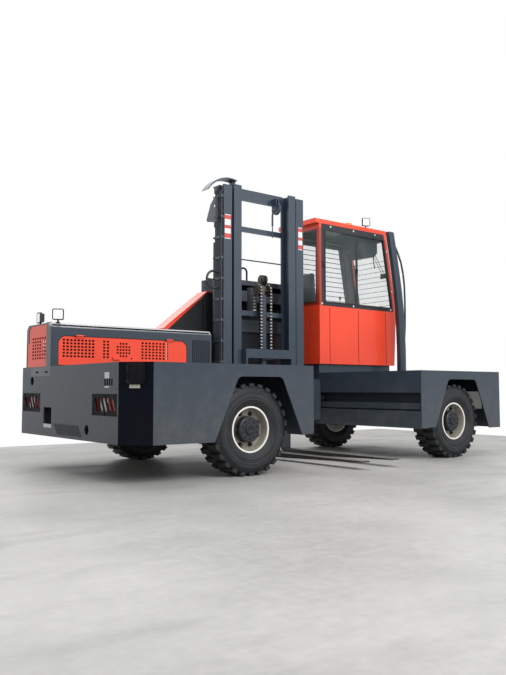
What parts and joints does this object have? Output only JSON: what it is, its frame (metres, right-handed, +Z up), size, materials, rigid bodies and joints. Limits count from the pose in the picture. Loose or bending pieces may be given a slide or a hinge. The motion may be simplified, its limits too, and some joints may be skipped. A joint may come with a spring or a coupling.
{
  "type": "side loader forklift",
  "caption": "Side loading forklift: low twin decks round an open well, a mast that travels out to the side, far-side cab, engine hood, four lugged tyres.",
  "frame": {"origin": "on the floor, in the middle of the overall length and of the overall width, fork tips included", "axes": "+X to the cab end, +Y away from the load side, +Z up"},
  "size_m": [4.97, 2.56, 3.2371],
  "materials": {
    "frame_paint": "satin dark blue grey paint",
    "corner_paint": "glossy dark navy paint",
    "mast_paint": "satin dark grey paint",
    "orange_paint": "gloss orange red paint",
    "cab_trim": "matt black paint",
    "black_steel": "matt black paint",
    "engine_iron": "cast iron",
    "rod_chrome": "polished",
    "chain_steel": "oiled steel",
    "fork_steel": "worn forged steel",
    "hose_rubber": "black rubber",
    "tyre_rubber": "black rubber",
    "rim_paint": "satin stone grey paint",
    "clear_glass": "clear tinted",
    "seat_vinyl": "dark grey vinyl",
    "dash_plastic": "grained",
    "beacon_plastic": "orange lens",
    "lamp_housing": "lamp with clear lens",
    "tail_lens": "red and clear lenses",
    "nose_lens": "clear lenses"
  },
  "bodies": {
    "chassis": {"rear_near_skirt": "frame_paint", "front_near_skirt": "frame_paint", "far_side": "frame_paint", "tail_plate": "frame_paint", "corner_plate": "corner_paint", "corner_box": "cab_trim", "lamp_guards": "cab_trim", "rear_deck": "frame_paint", "front_deck": "frame_paint", "nose_plate": "frame_paint", "main_frame": "frame_paint", "engine_block": "engine_iron", "hood_shell": "frame_paint", "hood_rear_panel": "orange_paint", "slope_cover": "orange_paint", "slope_side": "black_steel", "rack": "frame_paint", "cab_plinth": "frame_paint", "cab_shell": "orange_paint", "cab_frame": "orange_paint", "window_frame": "cab_trim", "cab_roof": "orange_paint", "overhead_box": "dash_plastic", "cab_glass": "clear_glass", "seat_base": "dash_plastic", "seat_pads": "seat_vinyl", "dashboard": "dash_plastic", "guard_post": "frame_paint", "beacon": "beacon_plastic", "work_lamps": "lamp_housing", "tail_lamps": "tail_lens", "nose_lamps": "nose_lens", "rear_axle": "black_steel", "front_axle": "black_steel"},
    "hood_panel": {"hood_side_panel": "orange_paint"},
    "door": {"cab_door": "orange_paint", "door_frame": "cab_trim", "door_glass": "clear_glass"},
    "carriage": {"reach_carriage": "mast_paint"},
    "mast": {"outer_mast": "mast_paint", "hose_bundle": "hose_rubber", "hose_clamps": "chain_steel"},
    "inner_mast": {"inner_mast": "mast_paint", "lift_rods": "rod_chrome"},
    "free_lift": {"free_rod": "rod_chrome", "lift_chains": "chain_steel"},
    "fork_carriage": {"fork_carriage": "mast_paint", "forks": "fork_steel"},
    "near_steer": {"near_knuckle": "black_steel"},
    "far_steer": {"far_knuckle": "black_steel"},
    "wheel_rear_near": {"rear_near_tyre": "tyre_rubber", "rear_near_rim": "rim_paint"},
    "wheel_rear_far": {"rear_far_tyre": "tyre_rubber", "rear_far_rim": "rim_paint"},
    "wheel_front_near": {"front_near_tyre": "tyre_rubber", "front_near_rim": "rim_paint"},
    "wheel_front_far": {"front_far_tyre": "tyre_rubber", "front_far_rim": "rim_paint"}
  },
  "joints": [
    {"name": "reach", "type": "slide", "parent": "chassis", "child": "carriage", "axis": [0, -1, 0], "range_m": [0, 1.3]},
    {"name": "mast_tilt", "type": "hinge", "parent": "carriage", "child": "mast", "pos_m": [0.165, 0.745, 0.43], "axis": [1, 0, 0], "range_deg": [-3, 4]},
    {"name": "mast_lift", "type": "slide", "parent": "mast", "child": "inner_mast", "axis": [0, 0, 1], "range_m": [0, 1.85]},
    {"name": "fork_lift", "type": "slide", "parent": "inner_mast", "child": "fork_carriage", "axis": [0, 0, 1], "range_m": [0, 1.5], "deforming": ["lift_chains"]},
    {"name": "free_lift_slide", "type": "slide", "parent": "inner_mast", "child": "free_lift", "axis": [0, 0, 1], "range_m": [0, 0.75]},
    {"name": "steer_near", "type": "hinge", "parent": "chassis", "child": "near_steer", "pos_m": [1.715, -0.645, 0.415], "axis": [0, 0, 1], "range_deg": [-25, 25]},
    {"name": "steer_far", "type": "hinge", "parent": "chassis", "child": "far_steer", "pos_m": [1.715, 0.845, 0.415], "axis": [0, 0, 1], "range_deg": [-25, 25]},
    {"name": "spin_rear_near", "type": "hinge", "parent": "chassis", "child": "wheel_rear_near", "pos_m": [-1.225, -0.87, 0.415], "axis": [0, 1, 0], "continuous": true},
    {"name": "spin_rear_far", "type": "hinge", "parent": "chassis", "child": "wheel_rear_far", "pos_m": [-1.225, 1.07, 0.415], "axis": [0, 1, 0], "continuous": true},
    {"name": "spin_front_near", "type": "hinge", "parent": "near_steer", "child": "wheel_front_near", "pos_m": [1.715, -0.87, 0.415], "axis": [0, 1, 0], "continuous": true},
    {"name": "spin_front_far", "type": "hinge", "parent": "far_steer", "child": "wheel_front_far", "pos_m": [1.715, 1.07, 0.415], "axis": [0, 1, 0], "continuous": true},
    {"name": "door_swing", "type": "hinge", "parent": "chassis", "child": "door", "pos_m": [2.337, 1.267, 1.5], "axis": [0, 0, -1], "range_deg": [0, 80]},
    {"name": "hood_panel_swing", "type": "hinge", "parent": "chassis", "child": "hood_panel", "pos_m": [-1.6575, 0.561, 1.307], "axis": [-1, 0, 0], "range_deg": [0, 80]}
  ],
  "couplings": [
    {"joint": "free_lift_slide", "follows": "fork_lift", "ratio": 0.5},
    {"joint": "steer_far", "follows": "steer_near", "ratio": 1}
  ]
}
